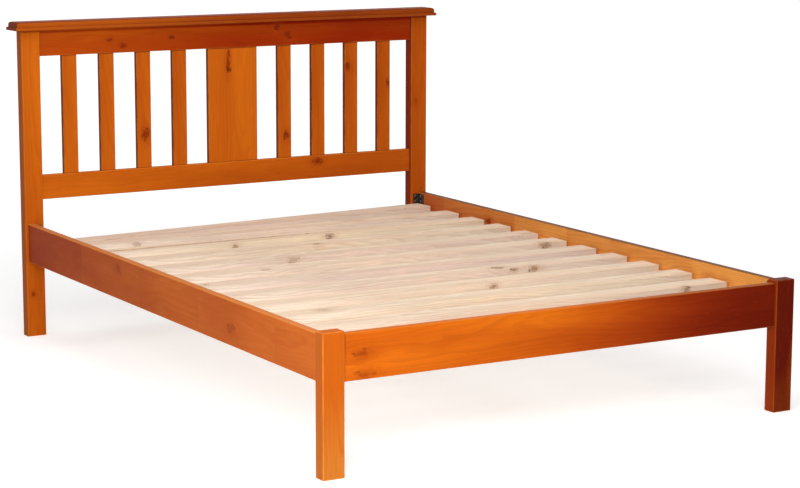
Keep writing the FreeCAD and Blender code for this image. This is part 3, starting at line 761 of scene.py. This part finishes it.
# Side rails and foot rail
bedRails = {
    "side_rail_left": {
        "grain": "y",
        "face": "x",
        "pith": (0.2, 0.030, 0.090),
        "tone": 0.02,
        "fade": 0.52,
        "light": colour(0.60, 0.140, 0.020),
        "deep": colour(0.27, 0.014, 0.004),
        "shine": 0.02,
        "joined": 0.42,
        "lots": 0.08,
        "patches": [(-0.46, 0.0, 0.24, 0.15, 0.18), (-0.13, 0.0, 0.28, 0.15, -0.16)],
        # painted highlight along the top arrises, with the wear
        "wearAndHighlight": 1.8,
        "side": 0.85,
        # painted light on the top and bottom faces
        "sideLightAndShade": colour(0.62, 0.205, 0.050),
        "knots": [(0.278, 0.028, 0.014, "pale"), (-0.523, -0.019, 0.015, "pale")],
    },
    "side_rail_right": {
        "grain": "y",
        "face": "x",
        "pith": (1.3, -0.030, -0.080),
        "tone": -0.06,
        "fade": 0.60,
        "bend": 2.0,
        # painted light: the lit inner face is paler and yellower, the outside keeps the plain stain
        "light": colour(0.79, 0.340, 0.074),
        "deep": colour(0.42, 0.035, 0.008),
        "outside": stain["light"],
        "joined": 0.36,
        "side": 0.9,
        # painted shade on the top and bottom faces
        "sideLightAndShade": colour(0.11, 0.035, 0.009),
        "knots": [(0.55, 0.020, 0.010, "face"), (-0.72, 0.010, 0.011, "face")],
    },
    "foot_rail": {
        "grain": "x",
        "face": "y",
        "pith": (2.2, 0.010, 0.100),
        "tone": -0.05,
        # painted shade: deeper towards the right end, where the light falls off
        "fade": 0.93,
        "bend": 3.1,
        "multiplyFade": True,
        "mottle": 0.10,
        "light": colour(0.70, 0.152, 0.006),
        "deep": colour(0.150, 0.008, 0.001),
        "wearAndHighlight": 0.6,
        "housed": 0.025,
        "side": 0.5,
        # painted light on the top and bottom faces
        "sideLightAndShade": colour(0.50, 0.15, 0.02),
        "knots": [(-0.676, 0.006, 0.012, "soft"), (-0.667, -0.050, 0.012, "soft")],
    },
}
for node, look in bedRails.items():
    stainedPine(node, **look)
print("stained boards dressed")

# Loose bed slats, from pink to yellow in hue, each with a shade and knots of its own
bedSlats = {
    1: {
        "hue": 0.25,
        "shade": 0.05,
        "knots": [(-0.489, -0.021, 0.010, "pale")],
        "askew": math.radians(4.32),  # the first one lies skew
        # painted shade: darker arrises, for the shadow in the gap to the next slat
        "grimeAndShade": 0.8,
    },
    2: {"hue": 0.40, "shade": 0.02, "knots": [(-0.529, 0.002, 0.008, "paleEdge")]},
    3: {
        "hue": 0.85,
        "shade": -0.01,
        "knots": [
            (0.119, 0.004, 0.010, "edge"),
            (-0.242, -0.004, 0.007, "edge"),
            (-0.300, 0.006, 0.006, "resin"),
        ],
    },
    4: {"hue": 0.70, "shade": 0.02, "knots": [(-0.014, -0.026, 0.010, "face")]},
    5: {
        "hue": 0.30,
        "shade": 0.03,
        "knots": [(-0.206, 0.002, 0.012, "paleEdge"), (0.708, -0.018, 0.013, "pale")],
    },
    6: {
        "hue": 0.45,
        "shade": 0.0,
        "knots": [(0.663, 0.005, 0.014, "edge"), (-0.381, -0.022, 0.013, "pale")],
    },
    7: {"hue": 0.15, "shade": 0.04, "knots": [(-0.660, 0.012, 0.005, "face")]},
    8: {
        "hue": 0.35,
        "shade": 0.03,
        "knots": [
            (0.386, 0.003, 0.012, "edge"),
            (0.312, 0.006, 0.009, "edge"),
            (0.272, -0.010, 0.014, "face"),
        ],
    },
    9: {"hue": 0.60, "shade": 0.0, "knots": [(0.122, -0.003, 0.009, "edge")]},
    10: {"hue": 0.75, "shade": 0.02, "knots": [(-0.538, 0.011, 0.018, "pale")]},
    11: {"hue": 0.55, "shade": 0.02, "knots": [(0.596, 0.003, 0.010, "edge")]},
    12: {"hue": 0.50, "shade": 0.02, "knots": [(0.210, 0.014, 0.007, "face")]},
}
for number, look in bedSlats.items():
    barePine(f"bed_slat_{number:02d}", "x", "z", drawPith(0.05, 0.03, 0.11), **look)

# Beam, legs, cleat and ledges under the slats, and the dowels in the cap: grain and face
underBed = {
    "centre_beam": ("y", "x"),
    "centre_leg_middle": ("z", "y"),
    "centre_leg_head": ("z", "y"),
    "beam_cleat": ("x", "y"),
    "slat_ledge_left": ("y", "x"),
    "slat_ledge_right": ("y", "x"),
    "cap_dowels": ("z", "y"),
}
underShade = 0.06
underKnot = 0.007
for node, (grain, face) in underBed.items():
    pith = drawPith(0.03, 0.04, 0.09)
    knots = []
    if grain == "y":  # the long boards
        place = (draw.uniform(-0.8, 0.8), draw.uniform(-0.012, 0.012))
        knots = [(*place, underKnot, "face")]
    barePine(node, grain, face, pith, draw.uniform(0.3, 0.9), underShade, knots)
print("bare boards dressed")

# Dark paint on the steel brackets
bracketPaint = {
    "paint": colour(0.020, 0.014, 0.011),
    "rubbed": colour(0.16, 0.13, 0.11),
    "peel": (900.0, 900.0, 900.0),  # how fine the sprayed surface is
    "patches": (60.0, 60.0, 60.0),
    "patchRange": (0.58, 0.72),
    "patchShare": 0.6,
    "patchMetal": 0.5,
    "gloss": (0.30, 0.55),
    "relief": (0.25, 0.0002),
}

# Blackened bolts, and zinc on the wood screws
metals = {
    "blackened_steel": {
        "ground": colour(0.11, 0.095, 0.085),
        "spots": colour(0.16, 0.13, 0.11),
        "rough": 0.34,
    },
    "zinc_steel": {
        "ground": colour(0.62, 0.61, 0.57),
        "spots": colour(0.40, 0.39, 0.36),
        "rough": 0.36,
    },
}
metalForm = {
    "spangle": (420.0, 420.0, 420.0),
    "spangleRange": (0.40, 0.65),
    "scratches": (2400.0, 300.0, 2400.0),
    "uneven": 0.12,
    "relief": (0.2, 0.0001),
}


def paintedSteel():
    material, tree, shader = newMaterial("painted_steel")
    where = ownPlace(tree)
    peel = noise(tree, where, bracketPaint["peel"])
    patches = noise(tree, where, bracketPaint["patches"], detail=3.0)
    rubbed = smooth(tree, patches, *bracketPaint["patchRange"])
    tint = glaze(tree, bracketPaint["paint"], rubbed, bracketPaint["patchShare"],
                 bracketPaint["rubbed"])
    rough = remap(tree, patches, *bracketPaint["gloss"])
    feedShader(tree, shader, tint, rough, peel, bracketPaint["relief"])
    metal = times(tree, rubbed, bracketPaint["patchMetal"])
    tree.links.new(metal, shader.inputs["Metallic"])
    return material


def bareSteel(name):
    look = metals[name]
    material, tree, shader = newMaterial(name)
    where = ownPlace(tree)
    spangle = noise(tree, where, metalForm["spangle"], detail=3.0)
    scratches = noise(tree, where, metalForm["scratches"], detail=1.0)
    mask = smooth(tree, spangle, *metalForm["spangleRange"])
    tint = mixColour(tree, mask, look["ground"], look["spots"])
    uneven = metalForm["uneven"]
    rough = remap(tree, spangle, look["rough"] - uneven, look["rough"] + uneven)
    feedShader(tree, shader, tint, rough, scratches, metalForm["relief"])
    shader.inputs["Metallic"].default_value = 1.0
    return material


paint = paintedSteel()
blackened = bareSteel("blackened_steel")
zinc = bareSteel("zinc_steel")
for node in nodes:
    if node.startswith("bracket_"):
        dress(nodes[node], paint)
    if node.endswith("_screws"):
        dress(nodes[node], zinc)
print("steel dressed")

# Bolts with a hex socket and wood screws with a cross recess

boltSet = {
    "head": 0.012,
    "height": 0.004,
    "rounding": 0.0024,
    "shank": 0.006,
    "socket": 0.0046,  # across the flats
    "depth": 0.0024,
}
screwSet = {
    "head": 0.010,
    "height": 0.003,
    "rounding": 0.0018,
    "shank": 0.005,
    "slot": 0.0011,
    "reach": 0.0052,
    "depth": 0.0017,
}
fastenerMesh = {
    "headSides": 32,
    "socketSides": 6,
    "shankSides": 16,
    "roundingSteps": 4,
    "sharpFrom": math.radians(35),
}


# A cylinder on the fastener's axis, with its middle at a height
def addRound(sides, diameter, length, height):
    bpy.ops.mesh.primitive_cylinder_add(vertices=sides, radius=diameter / 2, depth=length,
                                        location=(0.0, 0.0, height))
    return bpy.context.object


# A round head on its seat at the origin, with the shank below it
def addFastener(look, length):
    bpy.ops.object.select_all(action="DESELECT")
    head = addRound(fastenerMesh["headSides"], look["head"], look["height"], look["height"] / 2)
    bpy.ops.object.transform_apply(location=True, rotation=True, scale=True)
    bpy.ops.object.mode_set(mode="EDIT")
    bpy.ops.mesh.select_mode(type="FACE")
    bpy.ops.mesh.select_all(action="DESELECT")
    bpy.ops.object.mode_set(mode="OBJECT")
    crown = max(head.data.polygons, key=lambda face: face.center.z)
    crown.select = True
    bpy.ops.object.mode_set(mode="EDIT")
    steps = fastenerMesh["roundingSteps"]
    bpy.ops.mesh.bevel(offset=look["rounding"], segments=steps, affect="EDGES")
    bpy.ops.object.mode_set(mode="OBJECT")
    for cutter in (addSocket(look) if "socket" in look else addCross(look)):
        cutAway(head, cutter)
    shank = addRound(fastenerMesh["shankSides"], look["shank"], length, -length / 2)
    joinPieces([head, shank])
    return head


def addSocket(look):
    corners = look["socket"] / math.cos(math.radians(30))
    return [addRound(fastenerMesh["socketSides"], corners, look["depth"] * 2, look["height"])]


def addCross(look):
    bars = []
    for turn in (0.0, 90.0):
        bpy.ops.mesh.primitive_cube_add(size=1.0, location=(0.0, 0.0, look["height"]))
        bar = bpy.context.object
        bar.scale = (look["reach"], look["slot"], look["depth"] * 2)
        bar.rotation_euler = (0.0, 0.0, math.radians(turn))
        bars.append(bar)
    return bars


def cutAway(piece, cutter):
    bpy.ops.object.select_all(action="DESELECT")
    piece.select_set(True)
    bpy.context.view_layer.objects.active = piece
    modifier = piece.modifiers.new("recess", "BOOLEAN")
    modifier.operation = "DIFFERENCE"
    modifier.object = cutter
    bpy.ops.object.modifier_apply(modifier=modifier.name)
    bpy.data.objects.remove(cutter)


def joinPieces(pieces):
    bpy.ops.object.select_all(action="DESELECT")
    for piece in pieces:
        piece.select_set(True)
    bpy.context.view_layer.objects.active = pieces[0]
    bpy.ops.object.join()


# Copies of one fastener on all its seats, joined to one piece that stands for the CAD node
def placeFasteners(node, fastener, seats, material):
    copies = []
    for place, facing in seats:
        bpy.ops.object.select_all(action="DESELECT")
        fastener.select_set(True)
        bpy.context.view_layer.objects.active = fastener
        bpy.ops.object.duplicate()
        copy = bpy.context.object
        spin = Matrix.Rotation(draw.uniform(0.0, math.pi), 3, "Z").to_quaternion()
        copy.location = place
        copy.rotation_euler = (Vector(facing).to_track_quat("Z", "Y") @ spin).to_euler()
        copies.append(copy)
    bpy.data.objects.remove(fastener)
    joinPieces(copies)
    piece = copies[0]
    bpy.ops.object.transform_apply(location=True, rotation=True, scale=True)
    bpy.ops.object.shade_smooth_by_angle(angle=fastenerMesh["sharpFrom"])
    piece.name = node + "_detailed"
    dress(piece, material)
    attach(piece, "frame")
    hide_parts(node)


# The seats of the heads, each with the way it faces: into the bed, or to the right on the legs
sides = (-1.0, 1.0)
boltPlaces = {
    "heights": (0.296, 0.315, 0.359, 0.378),
    "ends": ((1.029, -1.0), (-1.055, 1.0)),  # head and foot, each with the way into the bed
    "onPost": 0.752,
    "onRail": 0.763,
    "fromPost": 0.0185,  # how far the bolts in the rail stand from the post's seat
    "length": 0.016,
}
boltSeats = []
for side in sides:
    for height in boltPlaces["heights"]:
        for end, back in boltPlaces["ends"]:
            onPost = (side * boltPlaces["onPost"], end, height)
            onRail = (side * boltPlaces["onRail"], end + back * boltPlaces["fromPost"], height)
            boltSeats.append((onPost, (0.0, back, 0.0)))
            boltSeats.append((onRail, (-side, 0.0, 0.0)))
bolt = addFastener(boltSet, boltPlaces["length"])
placeFasteners("bracket_bolts", bolt, boltSeats, blackened)

ledgePlaces = {
    "side": 0.734,
    "along": [-0.013 + 0.455 * step for step in range(-2, 3)],
    "height": 0.313,
    "length": 0.047,
}
ledgeSeats = []
for side in sides:
    for along in ledgePlaces["along"]:
        place = (side * ledgePlaces["side"], along, ledgePlaces["height"])
        ledgeSeats.append((place, (-side, 0.0, 0.0)))
screw = addFastener(screwSet, ledgePlaces["length"])
placeFasteners("ledge_screws", screw, ledgeSeats, zinc)

cleatPlaces = {"side": 0.037, "along": -1.037, "height": 0.282, "length": 0.045}
cleatSeats = []
for side in sides:
    place = (side * cleatPlaces["side"], cleatPlaces["along"], cleatPlaces["height"])
    cleatSeats.append((place, (0.0, 1.0, 0.0)))
screw = addFastener(screwSet, cleatPlaces["length"])
placeFasteners("cleat_screws", screw, cleatSeats, zinc)

legPlaces = {
    "side": 0.0375,
    "along": [leg + step for leg in (-0.0465, 0.814) for step in (-0.013, 0.013)],
    "height": 0.292,
    "length": 0.035,
}
legSeats = []
for along in legPlaces["along"]:
    place = (legPlaces["side"], along, legPlaces["height"])
    legSeats.append((place, (1.0, 0.0, 0.0)))
screw = addFastener(screwSet, legPlaces["length"])
placeFasteners("leg_screws", screw, legSeats, zinc)
print("bolts and screws modelled")

# Floor and light

stageSet = {
    "floorSize": 60.0,
    "floor": colour(0.90, 0.90, 0.90),
    "rough": 0.9,
    "lift": (0.40, 0.75),  # glow near and far, which lights nothing, so that the floor is white
    "liftRange": (1.5, 5.0),  # metres from the middle of the bed
    "white": colour(1.0, 1.0, 1.0),
    "ambient": 0.36,
}


def seenStraight(tree):  # by the camera, in gloss or through glass
    path = tree.nodes.new("ShaderNodeLightPath").outputs
    seen = calc(tree, "MAXIMUM", path["Is Camera Ray"], path["Is Glossy Ray"])
    return calc(tree, "MAXIMUM", seen, path["Is Transmission Ray"])


def addFloor():
    bpy.ops.object.select_all(action="DESELECT")
    bpy.ops.mesh.primitive_plane_add(size=stageSet["floorSize"])
    floor = bpy.context.object
    floor.name = "studio_floor"
    material, tree, shader = newMaterial("studio_floor")
    shader.inputs["Base Color"].default_value = stageSet["floor"]
    shader.inputs["Roughness"].default_value = stageSet["rough"]
    shader.inputs["Specular IOR Level"].default_value = 0.0
    shader.inputs["Emission Color"].default_value = stageSet["white"]
    away = smooth(tree, vectorLength(tree, ownPlace(tree)), *stageSet["liftRange"])
    lift = times(tree, seenStraight(tree), remap(tree, away, *stageSet["lift"]))
    tree.links.new(lift, shader.inputs["Emission Strength"])
    floor.data.materials.append(material)


def addWorld():
    world = bpy.data.worlds.new("studio")
    world.use_nodes = True
    tree = world.node_tree
    background = tree.nodes["Background"]
    background.inputs["Color"].default_value = stageSet["white"]
    strength = remap(tree, seenStraight(tree), stageSet["ambient"], 1.0)
    tree.links.new(strength, background.inputs["Strength"])
    bpy.context.scene.world = world


lamps = {
    "foot_softbox": {
        "place": (-2.2, -2.7, 1.5),
        "aim": (-0.6, -1.0, 0.35),
        "size": 1.0,
        "power": 42.0,
    },
    "front_softbox": {
        "place": (-2.6, -6.0, 3.2),
        "aim": (0.0, 0.3, 0.4),
        "size": 3.0,
        "power": 105.0,
    },
    "top_softbox": {
        "place": (-0.4, -0.6, 3.6),
        "aim": (0.0, 0.0, 0.35),
        "size": 3.4,
        "power": 60.0,
    },
}


def addLamp(name, look):
    data = bpy.data.lights.new(name, "AREA")
    data.shape = "SQUARE"
    data.size = look["size"]
    data.energy = look["power"]
    lamp = bpy.data.objects.new(name, data)
    lamp.location = look["place"]
    aim = Vector(look["aim"]) - Vector(look["place"])
    lamp.rotation_euler = aim.to_track_quat("-Z", "Y").to_euler()
    bpy.context.scene.collection.objects.link(lamp)


addFloor()
addWorld()
for name, look in lamps.items():
    addLamp(name, look)
print("floor and light added")
